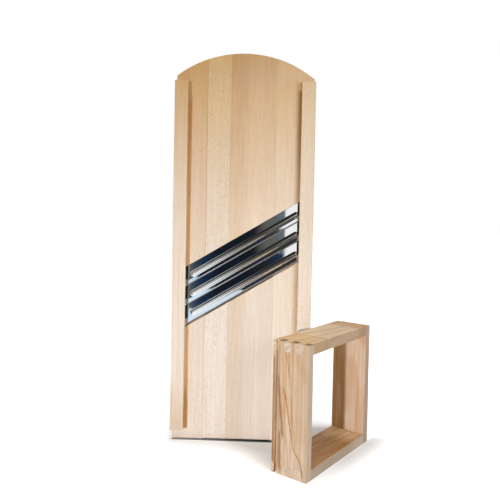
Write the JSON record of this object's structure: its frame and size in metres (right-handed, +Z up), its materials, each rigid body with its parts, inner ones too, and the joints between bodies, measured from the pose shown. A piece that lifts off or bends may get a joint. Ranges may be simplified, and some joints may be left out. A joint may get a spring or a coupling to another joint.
{
  "type": "cabbage cutter",
  "caption": "Wooden cabbage cutter: arched board of glued staves with side rails and slanted steel blades, and a finger-jointed sliding box standing beside it.",
  "frame": {"origin": "middle of the board's foot: halfway across the board and halfway through its thickness, on the surface that it stands on", "axes": "+Z up the board, +X to the right as seen from the blade side, +Y from the blade side to the back"},
  "size_m": [0.3164, 0.1841, 0.615],
  "materials": {
    "board_wood": "planed pale beech, bare",
    "rail_wood": "planed pale beech, bare",
    "box_wood": "sanded beech with brown heartwood streaks, bare",
    "blade_steel": "bright rolled stainless steel",
    "screw_steel": "zinc-plated steel"
  },
  "bodies": {
    "board": {"left_edge_stave": "board_wood", "upper_narrow_stave": "board_wood", "lower_narrow_stave": "board_wood", "upper_wide_stave": "board_wood", "lower_wide_stave": "board_wood", "right_edge_stave": "board_wood", "left_rail": "rail_wood", "right_rail": "rail_wood", "left_rail_screws": "screw_steel", "right_rail_screws": "screw_steel", "upper_blade": "blade_steel", "middle_blade": "blade_steel", "lower_blade": "blade_steel", "upper_blade_screws": "screw_steel", "middle_blade_screws": "screw_steel", "lower_blade_screws": "screw_steel"},
    "box": {"box_left_side": "box_wood", "box_right_side": "box_wood", "box_upper_end": "box_wood", "box_lower_end": "box_wood"}
  },
  "joints": [
    {"name": "box_slide", "type": "slide", "parent": "board", "child": "box", "axis": [0, 0, 1], "range_m": [0, 0.352]}
  ]
}
